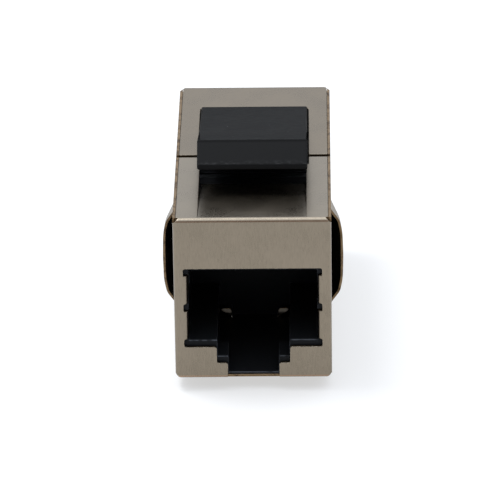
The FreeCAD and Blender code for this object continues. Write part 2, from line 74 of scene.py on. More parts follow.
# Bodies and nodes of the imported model
MODULE = "module"
LATCH = "latch"
SHELLS = ["front_shell", "rear_shell"]
HOUSINGS = ["front_housing", "rear_housing"]
CARRIERS = ["front_contact_carrier", "rear_contact_carrier"]
CONTACTS = sorted(name for name in frame["nodes"] if "_contact_" in name and name not in CARRIERS)
BOARD = "circuit_board"
PIVOT = Vector(frame["joints"][0]["pos_m"])
PLATE_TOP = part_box("rear_shell")[1].z

# Material places on a shell's mesh
SKIN = 0
EDGE = 1

# A level face is skin where this share of it has less than this many sheets of metal behind it
SKIN_SHARE = 0.7
THIN_SHEETS = 2

# The depth of the metal is measured from this share of a sheet under the face
MEASURE_START = 0.01

# Points closer than this are one point, and faces flatter than this are one face
WELD = 0.0001 * MM
FLAT = math.radians(0.3)

# Faces that meet at less than these angles are shaded as one smooth surface
SHELL_SMOOTH = math.radians(28)
HOUSING_SMOOTH = math.radians(50)
LATCH_SMOOTH = math.radians(35)

# Housing edges sharper than this are rounded, in this many steps and to this profile
SHARP = math.radians(40)
EDGE_STEPS = 2
ROUND_PROFILE = 0.5

# Steps round the latch's knuckle, the corners of its profile and its sides
KNUCKLE_STEPS = 16
CORNER_STEPS = 6
SIDE_STEPS = 4

# Faces with more corners than this are cut into triangles
MOST_CORNERS = 4


def length(name, description, millimetres):
    """Length property with its default in millimetres."""
    return bpy.props.FloatProperty(
        name=name, description=description, unit="LENGTH", precision=5, default=millimetres * MM)


def angle(name, description, degrees):
    """Angle property with its default in degrees."""
    return bpy.props.FloatProperty(
        name=name, description=description, subtype="ANGLE", default=math.radians(degrees))


def place(name, description, millimetres):
    """Point property with its default in millimetres."""
    return bpy.props.FloatVectorProperty(
        name=name, description=description, subtype="TRANSLATION", size=3,
        default=tuple(number * MM for number in millimetres))


def share(name, description, default):
    """Number from 0 to 1."""
    return bpy.props.FloatProperty(
        name=name, description=description, subtype="FACTOR", min=0, max=1, default=default)


def colour(name, description, default):
    """Linear colour property."""
    return bpy.props.FloatVectorProperty(
        name=name, description=description, subtype="COLOR", size=3, min=0, max=2, default=default)


def level(name, description, default):
    """Brightness of part of the surroundings."""
    return bpy.props.FloatProperty(name=name, description=description, min=0, default=default)


def power(name, description, default):
    """Power of a light panel."""
    return bpy.props.FloatProperty(
        name=name, description=description, unit="POWER", min=0, precision=4, default=default)


class KeystoneForm(bpy.types.PropertyGroup):
    """Sizes of what is modelled here."""
    sheet: length("Sheet", "Thickness of the folded sheet", 0.25)
    housing_edge: length("Housing edge", "Rounding of the moulded housings' edges", 0.05)
    latch_edge: length("Latch edge", "Rounding along the latch's sides", 0.16)
    latch_corner: length("Latch corner", "Rounding of the latch's profile", 0.16)
    arm_inset: length("Arm inset", "How much narrower the arm is than the head, on each side", 0.02)
    ramp_run: length("Ramp run", "Length of the head's front ramp", 1.7)
    ramp_fall: length("Ramp fall", "Fall of the head's front ramp", 1.7)
    nose_face: length("Nose face", "Height of the head's blunt front", 0.55)
    nose_back: length("Nose back", "Length of the slope under the head", 2.9)
    crest_flat: length("Crest flat", "Flat along the top of the head", 0.3)
    catch_lean: length("Catch lean", "Lean of the catch face behind the head", 0.15)
    arm_front: length("Arm front height", "Arm's top above the plate, at the head", 2.85)
    arm_rear: length("Arm rear height", "Arm's top above the plate, at the root", 0.28)
    arm_thickness: length("Arm thickness", "Thickness of the arm", 1.1)
    arm_root: length("Arm root", "Length of the thick root", 1.3)
    neck_reach: length("Neck reach", "From the arm's rear end to the pivot", 0.8)
    neck_top: length("Neck top", "Neck's top below the plate's top", 0.45)
    neck_thickness: length("Neck thickness", "Thickness of the neck", 0.75)
    knuckle_radius: length("Knuckle radius", "Radius of the round root in its cradle", 0.6)


class KeystoneFinish(bpy.types.PropertyGroup):
    """Colours and surface values of the materials."""
    front_nickel: colour("Front nickel", "Colour of the front shell's plating", (0.232, 0.1965, 0.151))
    rear_nickel: colour("Rear nickel", "Colour of the rear shell's plating", (0.198, 0.161, 0.117))
    # Rubbed plating along edges; the same colour is laid on edges and folds as a painted highlight
    burnish_and_highlight: colour("Burnish", "Colour of the plating where edges are rubbed", (0.58, 0.50, 0.39))
    # Foot tint: a warm colour mixed in where the front and rear folds turn upright
    foot_tint: colour("Foot tint", "Colour of the thin plating at the foot of the folds", (0.38, 0.25, 0.165))
    copper: colour("Cut edge", "Colour of the copper alloy at cut edges", (0.215, 0.147, 0.082))
    tarnish: colour("Tarnish", "Colour of the darkened spots on cut edges", (0.055, 0.034, 0.020))
    latch: colour("Latch plastic", "Colour of the snap latch", (0.0078, 0.0078, 0.0079))
    housing: colour("Housing plastic", "Colour of the jack housings", (0.0084, 0.0089, 0.0100))
    gold: colour("Contact gold", "Colour of the gold flash on the contacts", (0.80, 0.56, 0.22))
    mask: colour("Board mask", "Colour of the board's solder mask", (0.010, 0.011, 0.012))
    dust: colour("Dust", "Colour of the settled specks", (0.16, 0.16, 0.16))
    # Painted highlight on folds: how far they are painted towards the burnish colour
    fold_highlight: share("Fold wear", "How far folds are rubbed towards the burnish", 0.03)
    nickel_roughness: share("Nickel roughness", "Roughness of the satin plating", 0.295)
    latch_shine: share("Latch shine", "Strength of the latch's reflection", 0.02)
    housing_shine: share("Housing shine", "Strength of the housings' reflection", 0.07)
    plastic_roughness: share("Plastic roughness", "Roughness of the moulded plastic", 0.42)
    edge_radius: length("Edge radius", "Width of the burnish along edges", 0.09)


class KeystoneStage(bpy.types.PropertyGroup):
    """Camera, floor and light."""
    azimuth: angle("Azimuth", "Camera's turn to the right of straight ahead", 0.9606)
    elevation: angle("Elevation", "Camera's height above the horizon", 25.172)
    roll: angle("Roll", "Camera's turn about its own line of sight", -0.816)
    distance: length("Distance", "From the camera to the point that it looks at", 435.6)
    lens: bpy.props.FloatProperty(
        name="Lens", description="Focal length in millimetres on a 36 mm sensor", default=329.69)
    aim: place("Aim", "Point that the camera looks at", (-0.449, 0.0, 7.199))
    floor_size: length("Floor size", "Side of the square floor", 6000.0)
    floor_tone: share("Floor tone", "How much of its light the floor gives back", 0.738)
    shadow_depth: share("Shadow depth", "How much of the floor's tone follows the light", 0.43)
    sky: colour("Sky", "Tint of the light from the studio's walls and ceiling", (0.94, 1.0, 1.09))
    ceiling: level("Ceiling", "Brightness overhead", 2.2)
    back_wall: level("Back wall", "Brightness behind the module, above the horizon", 1.27)
    horizon: level("Horizon", "Brightness behind the module, at the horizon", 0.12)
    camera_side: level("Camera side", "Brightness around the camera", 0.27)
    panel_power: power("Panel power", "Power of the light panel at the upper left", 1.05)
    panel_place: place("Panel place", "Middle of the light panel", (-140.0, 30.0, 400.0))
    panel_size: length("Panel size", "Side of the square light panel", 140.0)


# Octaves of the noises
FINE_DETAIL = 2.0
CLOUD_DETAIL = 3.0
WAVE_DETAIL = 0.0
SPECK_DETAIL = 1.0

# Range that the tone of a grain or a moulded skin mostly keeps to
TONE_RANGE = (0.3, 0.7)

# Masks of edges and folds: how far the surface turns there, and where a noise leaves out the wear and
# painted highlight
EDGE_SAMPLES = 8
EDGE_TURN = (0.01, 0.2)
FOLD_TURN = (0.08, 0.2)
WEAR_AND_HIGHLIGHT_GAPS = (0.35, 0.6)

# Foot of the front and rear folds: how far the surface faces up and aside, and its place
FOOT_START = (0.14, 0.3)
FOOT_END = (0.4, 0.65)
FOOT_ASIDE = (0.1, 0.3)
FOOT_PLACE = cad_box[1][1] - 1.0 * MM

# Specks of dust: how sharp they are, and how far a face has to turn up to hold them
SPECK_CONTRAST = 12.0
SPECK_FACING = (0.1, 0.9)


# Shared shader groups

def new_group(name, inputs, outputs):
    """Node group with named number inputs and named outputs, and its two end nodes."""
    group = bpy.data.node_groups.new(name, "ShaderNodeTree")
    for label, default in inputs:
        socket = group.interface.new_socket(label, in_out="INPUT", socket_type="NodeSocketFloat")
        socket.default_value = default
    for label, kind in outputs:
        group.interface.new_socket(label, in_out="OUTPUT", socket_type=kind)
    start = group.nodes.new("NodeGroupInput")
    end = group.nodes.new("NodeGroupOutput")
    return group, start, end


def feed(tree, value, socket):
    """Joins another socket to an input, or sets a plain value on it."""
    if isinstance(value, bpy.types.NodeSocket):
        tree.links.new(value, socket)
    else:
        socket.default_value = value


def math_node(tree, operation, first, second, clamp=False):
    """Math node whose operands are sockets or plain numbers; gives its output."""
    node = tree.nodes.new("ShaderNodeMath")
    node.operation = operation
    node.use_clamp = clamp
    feed(tree, first, node.inputs[0])
    feed(tree, second, node.inputs[1])
    return node.outputs[0]


def product(tree, *factors):
    """Product of two or more sockets or numbers; gives its output."""
    result = factors[0]
    for factor in factors[1:]:
        result = math_node(tree, "MULTIPLY", result, factor)
    return result


def mean(tree, first, second):
    """Mean of two sockets; gives its output."""
    return product(tree, math_node(tree, "ADD", first, second), 1 / 2)


def noise_node(tree, vector, scale, detail):
    """Noise over a vector socket, with the scale from a socket or a number; gives its value."""
    node = tree.nodes.new("ShaderNodeTexNoise")
    node.inputs["Detail"].default_value = detail
    tree.links.new(vector, node.inputs["Vector"])
    feed(tree, scale, node.inputs["Scale"])
    return node.outputs["Fac"]


def object_place(tree):
    """Place on the object, in metres."""
    return tree.nodes.new("ShaderNodeTexCoord").outputs["Object"]


def object_normal(tree):
    """Direction that the surface faces, along the object's own axes."""
    return tree.nodes.new("ShaderNodeTexCoord").outputs["Normal"]


def split_vector(tree, vector):
    """Outputs X, Y and Z of a vector socket."""
    node = tree.nodes.new("ShaderNodeSeparateXYZ")
    tree.links.new(vector, node.inputs[0])
    return node.outputs


def unsigned(tree, vector):
    """Vector socket with the signs of its parts taken off."""
    node = tree.nodes.new("ShaderNodeVectorMath")
    node.operation = "ABSOLUTE"
    tree.links.new(vector, node.inputs[0])
    return node.outputs[0]


def stretched_place(tree, axis, amount):
    """Place on the object, drawn out along one axis by an amount below one."""
    factors = tree.nodes.new("ShaderNodeCombineXYZ")
    for label in "XYZ":
        factors.inputs[label].default_value = 1.0
    feed(tree, amount, factors.inputs[axis])
    scaled = tree.nodes.new("ShaderNodeVectorMath")
    scaled.operation = "MULTIPLY"
    tree.links.new(object_place(tree), scaled.inputs[0])
    tree.links.new(factors.outputs[0], scaled.inputs[1])
    return scaled.outputs[0]


def spread(tree, value, low, high, to_low=0.0, to_high=1.0):
    """Value stretched from one range to another, with soft ends; gives its output."""
    node = tree.nodes.new("ShaderNodeMapRange")
    node.interpolation_type = "SMOOTHSTEP"
    tree.links.new(value, node.inputs["Value"])
    for label, number in (("From Min", low), ("From Max", high), ("To Min", to_low), ("To Max", to_high)):
        feed(tree, number, node.inputs[label])
    return node.outputs["Result"]


def fading(tree, value, low, high):
    """One below a range and nothing above it, with soft ends; gives its output."""
    return spread(tree, value, low, high, 1.0, 0.0)


def grain_group():
    """Rolled and plated metal: a tone about one half, the grain's height and the sheet's slow waves."""
    group, start, end = new_group(
        "Rolled grain", [("Fine Scale", 9000.0), ("Cloud Scale", 500.0), ("Stretch", 0.25)],
        [("Tone", "NodeSocketFloat"), ("Height", "NodeSocketFloat"), ("Wave", "NodeSocketFloat")])
    cloud_scale = start.outputs["Cloud Scale"]
    drawn_out = stretched_place(group, "Z", start.outputs["Stretch"])
    fine = noise_node(group, drawn_out, start.outputs["Fine Scale"], FINE_DETAIL)
    cloud = noise_node(group, object_place(group), cloud_scale, CLOUD_DETAIL)
    wave = noise_node(group, object_place(group), cloud_scale, WAVE_DETAIL)
    group.links.new(mean(group, fine, cloud), end.inputs["Tone"])
    group.links.new(fine, end.inputs["Height"])
    group.links.new(wave, end.inputs["Wave"])
    return group


def off_axis(tree, facing):
    """One where the surface faces between two of the object's axes, as it does round a fold."""
    widest = math_node(tree, "MAXIMUM", facing["X"], facing["Y"])
    widest = math_node(tree, "MAXIMUM", widest, facing["Z"])
    return spread(tree, math_node(tree, "SUBTRACT", 1.0, widest), *FOLD_TURN)


def fold_foot(tree, facing):
    """One at the foot of the front and rear folds, where the surface has almost turned upright."""
    begun = spread(tree, facing["Z"], *FOOT_START)
    ended = fading(tree, facing["Z"], *FOOT_END)
    lengthwise = fading(tree, facing["X"], *FOOT_ASIDE)
    along = split_vector(tree, unsigned(tree, object_place(tree)))["Y"]
    outermost = math_node(tree, "GREATER_THAN", along, FOOT_PLACE)
    return product(tree, begun, ended, lengthwise, outermost)


def edge_group():
    """Rounded-over normal near edges, masks of edges and folds that are painted lighter as rubbed wear and
    painted highlight, and a mask of the folds' feet.
    """
    group, start, end = new_group(
        "Rubbed and highlighted edges", [("Radius", 0.06 * MM), ("Break Scale", 1500.0)],
        [("Edge", "NodeSocketFloat"), ("Fold", "NodeSocketFloat"), ("Foot", "NodeSocketFloat"),
         ("Normal", "NodeSocketVector")])
    bevel = group.nodes.new("ShaderNodeBevel")
    bevel.samples = EDGE_SAMPLES
    group.links.new(start.outputs["Radius"], bevel.inputs["Radius"])
    geometry = group.nodes.new("ShaderNodeNewGeometry")
    dot = group.nodes.new("ShaderNodeVectorMath")
    dot.operation = "DOT_PRODUCT"
    group.links.new(bevel.outputs["Normal"], dot.inputs[0])
    group.links.new(geometry.outputs["Normal"], dot.inputs[1])
    near = spread(group, math_node(group, "SUBTRACT", 1.0, dot.outputs["Value"]), *EDGE_TURN)
    breaks = noise_node(group, object_place(group), start.outputs["Break Scale"], CLOUD_DETAIL)
    gaps = spread(group, breaks, *WEAR_AND_HIGHLIGHT_GAPS)
    facing = split_vector(group, unsigned(group, object_normal(group)))
    group.links.new(product(group, near, gaps), end.inputs["Edge"])
    group.links.new(product(group, off_axis(group, facing), gaps), end.inputs["Fold"])
    group.links.new(fold_foot(group, facing), end.inputs["Foot"])
    group.links.new(bevel.outputs["Normal"], end.inputs["Normal"])
    return group


def dust_group():
    """Scattered specks that settle on faces turned upwards."""
    group, start, end = new_group(
        "Settled specks", [("Scale", 3500.0), ("Threshold", 0.72)], [("Specks", "NodeSocketFloat")])
    grains = noise_node(group, object_place(group), start.outputs["Scale"], SPECK_DETAIL)
    over = math_node(group, "SUBTRACT", grains, start.outputs["Threshold"])
    spots = math_node(group, "MULTIPLY", over, SPECK_CONTRAST, clamp=True)
    geometry = group.nodes.new("ShaderNodeNewGeometry")
    up = spread(group, split_vector(group, geometry.outputs["Normal"])["Z"], *SPECK_FACING)
    group.links.new(product(group, spots, up), end.inputs["Specks"])
    return group


def moulded_group():
    """Spark-eroded texture of moulded plastic: a tone about one half and a height."""
    group, start, end = new_group(
        "Moulded skin", [("Scale", 7000.0), ("Cloud Scale", 350.0), ("Streak", 1.0)],
        [("Tone", "NodeSocketFloat"), ("Height", "NodeSocketFloat")])
    drawn_out = stretched_place(group, "X", start.outputs["Streak"])
    pits = noise_node(group, drawn_out, start.outputs["Scale"], CLOUD_DETAIL)
    cloud = noise_node(group, object_place(group), start.outputs["Cloud Scale"], CLOUD_DETAIL)
    group.links.new(mean(group, pits, cloud), end.inputs["Tone"])
    group.links.new(pits, end.inputs["Height"])
    return group


GROUPS = {
    "Rolled grain": grain_group,
    "Rubbed and highlighted edges": edge_group,
    "Settled specks": dust_group,
    "Moulded skin": moulded_group,
}


def placed_group(tree, name, **values):
    """Places a shared group in a material with its own values; makes the group the first time."""
    group = bpy.data.node_groups.get(name) or GROUPS[name]()
    node = tree.nodes.new("ShaderNodeGroup")
    node.node_tree = group
    for label, value in values.items():
        node.inputs[label.replace("_", " ").title()].default_value = value
    return node.outputs


# Nickel plate: its grain, tones about the base colour, swing of the roughness and heights
NICKEL_GRAIN = {"fine_scale": 9000.0, "cloud_scale": 300.0, "stretch": 0.2}
NICKEL_TONES = (0.9, 1.1)
NICKEL_SWING = 0.04
NICKEL_WAVE = 0.0025 * MM
NICKEL_DEPTH = 0.0004 * MM

# Cut edges: their grain, range of the darkened spots, roughness and height
CUT_GRAIN = {"fine_scale": 9000.0, "cloud_scale": 1100.0, "stretch": 1.0}
CUT_SPOTS = (0.38, 0.54)
CUT_ROUGHNESS = (0.5, 0.36)
CUT_DEPTH = 0.004 * MM

# Contact gold: its grain, tones, roughness and height
GOLD_GRAIN = {"fine_scale": 12000.0, "cloud_scale": 900.0, "stretch": 1.0}
GOLD_TONES = (0.85, 1.1)
GOLD_ROUGHNESS = (0.22, 0.34)
GOLD_DEPTH = 0.001 * MM

# Board mask: its grain, tones, roughness and height
MASK_GRAIN = {"fine_scale": 5000.0, "cloud_scale": 700.0, "stretch": 1.0}
MASK_TONES = (0.7, 1.4)
MASK_ROUGHNESS = (0.28, 0.42)
MASK_DEPTH = 0.003 * MM

# Moulded plastic: its skin, tones and swing of the roughness
PLASTIC_SKIN = {"scale": 4500.0, "cloud_scale": 300.0}
PLASTIC_TONES = (0.88, 1.12)
PLASTIC_SWING = 0.06

# What sets the three moulded plastics apart
LATCH_SKIN = {"pit_depth": 0.003 * MM, "streak": 0.3, "wear_and_highlight": "Edge", "wear_and_highlight_tone": 1.6, "threshold": 0.8}
# On the housings the lighter folds are a painted highlight along the ledges' rounded edges
HOUSING_SKIN = {"pit_depth": 0.002 * MM, "streak": 1.0, "wear_and_highlight": "Fold", "wear_and_highlight_tone": 7.5, "threshold": 0.78}
CARRIER_SKIN = {"pit_depth": 0.002 * MM, "streak": 1.0, "wear_and_highlight": "Edge", "wear_and_highlight_tone": 3.0, "threshold": 0.8}

# Latch: how far its ramp faces forward and up, the ramp's painted-light tone, the scuffs' tone and the
# crest's painted-shade tone
RAMP_TURN = (0.3, 0.6)
RAMP_PAINTED_LIGHT_TONE = 1.76
SCUFF_TONE = 3.9
CREST_PAINTED_SHADE_TONE = 0.8

# Latch: height of the scuffs above the ramp's foot, their noise, and depth of the painted shade along the
# crest
SCUFF_RISE = 0.4 * MM
SCUFF_STRETCH = 0.5
SCUFF_SCALE = 5000.0
SCUFF_DETAIL = 4.0
SCUFF_RANGE = (0.46, 0.7)
CREST_PAINTED_SHADE_DEPTH = 0.2 * MM

# Places of the two colours and of the result on a Mix node
MIX_COLOURS = slice(6, 8)
MIX_RESULT = 2


# Materials

def new_material(name):
    """Material with an empty tree but for a Principled shader joined to the output."""
    material = bpy.data.materials.new(name)
    material.use_nodes = True
    tree = material.node_tree
    tree.nodes.clear()
    output = tree.nodes.new("ShaderNodeOutputMaterial")
    shader = tree.nodes.new("ShaderNodeBsdfPrincipled")
    tree.links.new(shader.outputs["BSDF"], output.inputs["Surface"])
    return material, tree, shader


def opaque(base):
    """Colour with a full alpha."""
    return (*base, 1.0)


def toned(base, factor):
    """Colour made lighter or darker."""
    return tuple(channel * factor for channel in base)


def mixed(tree, factor, first, second):
    """Colour between two colours or colour sockets; gives its output."""
    node = tree.nodes.new("ShaderNodeMix")
    node.data_type = "RGBA"
    tree.links.new(factor, node.inputs[0])
    for socket, value in zip(node.inputs[MIX_COLOURS], (first, second)):
        feed(tree, value if isinstance(value, bpy.types.NodeSocket) else opaque(value), socket)
    return node.outputs[MIX_RESULT]


def varied(tree, tone, base, tones):
    """Colour that runs with a texture's tone from darker to lighter than its base."""
    darkest, lightest = tones
    return mixed(tree, spread(tree, tone, *TONE_RANGE), toned(base, darkest), toned(base, lightest))


def swinging(tree, tone, middle, swing):
    """Number that swings about its middle with a texture's tone."""
    return spread(tree, tone, *TONE_RANGE, middle - swing, middle + swing)


def bumped(tree, height, distance, normal=None):
    """Bump over a normal; gives the new normal."""
    bump = tree.nodes.new("ShaderNodeBump")
    bump.inputs["Strength"].default_value = 1.0
    bump.inputs["Distance"].default_value = distance
    tree.links.new(height, bump.inputs["Height"])
    if normal is not None:
        tree.links.new(normal, bump.inputs["Normal"])
    return bump.outputs["Normal"]


def nickel_plate(name, base, finish):
    """Satin nickel on rolled sheet, lighter along its edges as rubbed plating and painted highlight, with
    painted highlight on its folds and a warm tint at their foot.
    """
    material, tree, shader = new_material(name)
    grain = placed_group(tree, "Rolled grain", **NICKEL_GRAIN)
    edge = placed_group(tree, "Rubbed and highlighted edges", radius=finish.edge_radius)
    body = varied(tree, grain["Tone"], base, NICKEL_TONES)
    # Edges painted lighter as rubbed plating and painted highlight; folds painted lighter as painted
    # highlight
    rubbed = math_node(tree, "MAXIMUM", edge["Edge"], product(tree, edge["Fold"], finish.fold_highlight))
    worn_and_highlit = mixed(tree, rubbed, body, finish.burnish_and_highlight)
    dulled = swinging(tree, grain["Tone"], finish.nickel_roughness, NICKEL_SWING)
    waves = bumped(tree, grain["Wave"], NICKEL_WAVE, edge["Normal"])
    tree.links.new(mixed(tree, edge["Foot"], worn_and_highlit, finish.foot_tint), shader.inputs["Base Color"])
    tree.links.new(dulled, shader.inputs["Roughness"])
    tree.links.new(bumped(tree, grain["Height"], NICKEL_DEPTH, waves), shader.inputs["Normal"])
    shader.inputs["Metallic"].default_value = 1.0
    return material


def cut_edge(finish):
    """Sheared copper alloy at the cut edges, with darkened spots."""
    material, tree, shader = new_material("cut_edge")
    grain = placed_group(tree, "Rolled grain", **CUT_GRAIN)
    clean = spread(tree, grain["Tone"], *CUT_SPOTS)
    dulled = spread(tree, grain["Tone"], *TONE_RANGE, *CUT_ROUGHNESS)
    tree.links.new(mixed(tree, clean, finish.tarnish, finish.copper), shader.inputs["Base Color"])
    tree.links.new(dulled, shader.inputs["Roughness"])
    tree.links.new(bumped(tree, grain["Height"], CUT_DEPTH), shader.inputs["Normal"])
    shader.inputs["Metallic"].default_value = 1.0
    return material


def moulded_plastic(name, base, shine, finish, pit_depth, streak, wear_and_highlight, wear_and_highlight_tone, threshold):
    """Black moulded plastic with a fine texture, edges or folds painted lighter as rubbed wear and painted
    highlight, and a few specks of dust.
    """
    material, tree, shader = new_material(name)
    skin = placed_group(tree, "Moulded skin", streak=streak, **PLASTIC_SKIN)
    edge = placed_group(tree, "Rubbed and highlighted edges", radius=finish.edge_radius)
    specks = placed_group(tree, "Settled specks", threshold=threshold)
    body = varied(tree, skin["Tone"], base, PLASTIC_TONES)
    # Edges or folds painted lighter: rubbed wear and painted highlight
    worn_and_highlit = mixed(tree, edge[wear_and_highlight], body, toned(base, wear_and_highlight_tone))
    dulled = swinging(tree, skin["Tone"], finish.plastic_roughness, PLASTIC_SWING)
    tree.links.new(mixed(tree, specks["Specks"], worn_and_highlit, finish.dust), shader.inputs["Base Color"])
    tree.links.new(dulled, shader.inputs["Roughness"])
    tree.links.new(bumped(tree, skin["Height"], pit_depth, edge["Normal"]), shader.inputs["Normal"])
    shader.inputs["Specular IOR Level"].default_value = shine
    return material


def latch_plastic(finish, sizes):
    """Latch plastic with its ramp painted paler where it faces forward and up, as painted light, scuffed
    along the ramp's foot, and with painted shade along its crest.
    """
    base = finish.latch
    material = moulded_plastic("latch_plastic", base, finish.latch_shine, finish, **LATCH_SKIN)
    tree = material.node_tree
    colour_input = tree.nodes["Principled BSDF"].inputs["Base Color"]
    plain = colour_input.links[0].from_socket
    facing = split_vector(tree, object_normal(tree))
    height = split_vector(tree, object_place(tree))["Z"]
    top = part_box(LATCH)[1].z
    foot = top - sizes.ramp_fall
    ramp = spread(tree, product(tree, facing["Y"], -1.0), *RAMP_TURN)
    low = fading(tree, height, foot, foot + SCUFF_RISE)
    marks = noise_node(tree, stretched_place(tree, "X", SCUFF_STRETCH), SCUFF_SCALE, SCUFF_DETAIL)
    rubbed = spread(tree, marks, *SCUFF_RANGE)
    scuffs = product(tree, rubbed, low, ramp, spread(tree, facing["Z"], *RAMP_TURN))
    # Painted shade: the top of the crest is darkened, standing in for the shade at the catch behind the
    # head
    crest = spread(tree, height, top - CREST_PAINTED_SHADE_DEPTH, top)
    # Painted light: the ramp's faces that turn forward and up are made paler, as if lit
    painted_light_ramp = mixed(tree, ramp, plain, toned(base, RAMP_PAINTED_LIGHT_TONE))
    scuffed = mixed(tree, scuffs, painted_light_ramp, toned(base, SCUFF_TONE))
    tree.links.new(mixed(tree, crest, scuffed, toned(base, CREST_PAINTED_SHADE_TONE)), colour_input)
    return material


def grained(name, base, tones, grain_values, roughness, depth):
    """Material whose colour and roughness run with its grain, and its Principled shader."""
    material, tree, shader = new_material(name)
    grain = placed_group(tree, "Rolled grain", **grain_values)
    dulled = spread(tree, grain["Tone"], *TONE_RANGE, *roughness)
    tree.links.new(varied(tree, grain["Tone"], base, tones), shader.inputs["Base Color"])
    tree.links.new(dulled, shader.inputs["Roughness"])
    tree.links.new(bumped(tree, grain["Height"], depth), shader.inputs["Normal"])
    return material, shader


def contact_gold(finish):
    """Gold flash on drawn wire."""
    material, shader = grained(
        "contact_gold", finish.gold, GOLD_TONES, GOLD_GRAIN, GOLD_ROUGHNESS, GOLD_DEPTH)
    shader.inputs["Metallic"].default_value = 1.0
    return material


def board_mask(finish):
    """Black solder mask over glass weave."""
    return grained("board_mask", finish.mask, MASK_TONES, MASK_GRAIN, MASK_ROUGHNESS, MASK_DEPTH)[0]


# Meshes

def welded(node):
    """Points and faces of a node's mesh, with doubled points made one."""
    form = bmesh.new()
    form.from_mesh(frame["nodes"][node].data)
    bmesh.ops.remove_doubles(form, verts=form.verts, dist=WELD)
    return form


def corner_normals(form, smooth_angle):
    """Normal at each face corner: the mean of its near-level neighbours, weighted by their areas."""
    form.normal_update()
    least = math.cos(smooth_angle)
    areas = {face: face.calc_area() for face in form.faces}
    normals = []
    for face in form.faces:
        for corner in face.loops:
            total = Vector()
            for other in corner.vert.link_faces:
                if other.normal.dot(face.normal) > least:
                    total += other.normal * areas[other]
            normals.append(total.normalized())
    return normals


def new_piece(form, name, materials, smooth_angle):
    """Object made from a finished form, shaded smooth but for its sharp edges."""
    mesh = bpy.data.meshes.new(name)
    normals = corner_normals(form, smooth_angle)
    form.to_mesh(mesh)
    form.free()
    for material in materials:
        mesh.materials.append(material)
    mesh.polygons.foreach_set("use_smooth", [True] * len(mesh.polygons))
    mesh.normals_split_custom_set(normals)
    piece = bpy.data.objects.new(name, mesh)
    bpy.context.scene.collection.objects.link(piece)
    return piece


def seat(piece, body, node):
    """Puts a piece on its body in place of a node, and hides that node."""
    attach(piece, body)
    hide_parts(node)


def dress(names, material):
    """Gives every named node this one material."""
    for name in names:
        mesh = frame["nodes"][name].data
        mesh.materials.clear()
        mesh.materials.append(material)


def cut_large_faces(form):
    """Cuts faces with many corners into triangles."""
    large = [face for face in form.faces if len(face.verts) > MOST_CORNERS]
    bmesh.ops.triangulate(form, faces=large)


def level_faces(first, left):
    """Faces joined to a face and level with it; takes them from the set of those that are left."""
    group = []
    left.discard(first)
    waiting = [first]
    while waiting:
        face = waiting.pop()
        group.append(face)
        for edge in face.edges:
            for other in edge.link_faces:
                if other in left and other.normal.dot(first.normal) > math.cos(FLAT):
                    left.discard(other)
                    waiting.append(other)
    return group


def is_thin(tree, face, sheet):
    """Whether the metal behind a face is thin, as on skin and on a raised barb."""
    inward = -face.normal
    start = face.calc_center_median() + inward * (sheet * MEASURE_START)
    through = tree.ray_cast(start, inward)[3]
    return through is not None and through < THIN_SHEETS * sheet


def mark_cut_edges(form, sheet):
    """A level face is skin where nearly all of it has thin metal behind it, and a cut edge elsewhere."""
    tree = BVHTree.FromBMesh(form)
    left = set(form.faces)
    for face in form.faces:
        if face in left:
            group = level_faces(face, left)
            whole = sum(part.calc_area() for part in group)
            thin = sum(part.calc_area() for part in group if is_thin(tree, part, sheet))
            for part in group:
                part.material_index = SKIN if thin > SKIN_SHARE * whole else EDGE


def round_edges(form, width):
    """Rounds the sharp edges of a moulded form."""
    bmesh.ops.dissolve_limit(form, angle_limit=FLAT, verts=form.verts, edges=form.edges)
    edges = [edge for edge in form.edges if edge.calc_face_angle() > SHARP]
    bmesh.ops.bevel(
        form, geom=edges, offset=width, segments=EDGE_STEPS, profile=ROUND_PROFILE, affect="EDGES")
    cut_large_faces(form)


def rounded_outline(corners, steps):
    """Outline through (y, z, radius) corners, each rounded by its radius in a few steps."""
    points = []
    count = len(corners)
    for i, (y, z, radius) in enumerate(corners):
        here = Vector((y, z))
        if not radius:
            points.append(here)
            continue
        way_in = (here - Vector(corners[i - 1][:2])).normalized()
        way_out = (Vector(corners[(i + 1) % count][:2]) - here).normalized()
        turn = way_in.angle(way_out)
        reach = radius * math.tan(turn / 2)
        centre = here + (way_out - way_in).normalized() * (radius / math.cos(turn / 2))
        first = (here - way_in * reach - centre).normalized()
        last = (here + way_out * reach - centre).normalized()
        for k in range(steps + 1):
            points.append(centre + first.slerp(last, k / steps) * radius)
    return points


def inset_outline(points, distance):
    """Outline moved inwards, for points that run clockwise."""
    moved = []
    count = len(points)
    for i, here in enumerate(points):
        way_in = (here - points[i - 1]).normalized()
        way_out = (points[(i + 1) % count] - here).normalized()
        inward = Vector((way_in.y + way_out.y, -way_in.x - way_out.x))
        moved.append(here + inward * (distance / (1 + way_in.dot(way_out))))
    return moved


def knuckle_arc(sizes):
    """Points round the latch's knuckle, from the neck's top over the rear to the neck's underside."""
    radius = sizes.knuckle_radius
    above = PLATE_TOP - sizes.neck_top - PIVOT.z
    below = above - sizes.neck_thickness
    start = math.pi - math.asin(above / radius)
    end = -math.pi - math.asin(below / radius)
    points = []
    for k in range(KNUCKLE_STEPS + 1):
        turn = start + (end - start) * k / KNUCKLE_STEPS
        points.append((PIVOT.y + radius * math.cos(turn), PIVOT.z + radius * math.sin(turn), 0.0))
    return points


def catch_place(sizes):
    """Place along y where the latch's arm starts behind its head."""
    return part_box(LATCH)[0].y + sizes.ramp_run + sizes.crest_flat + sizes.catch_lean


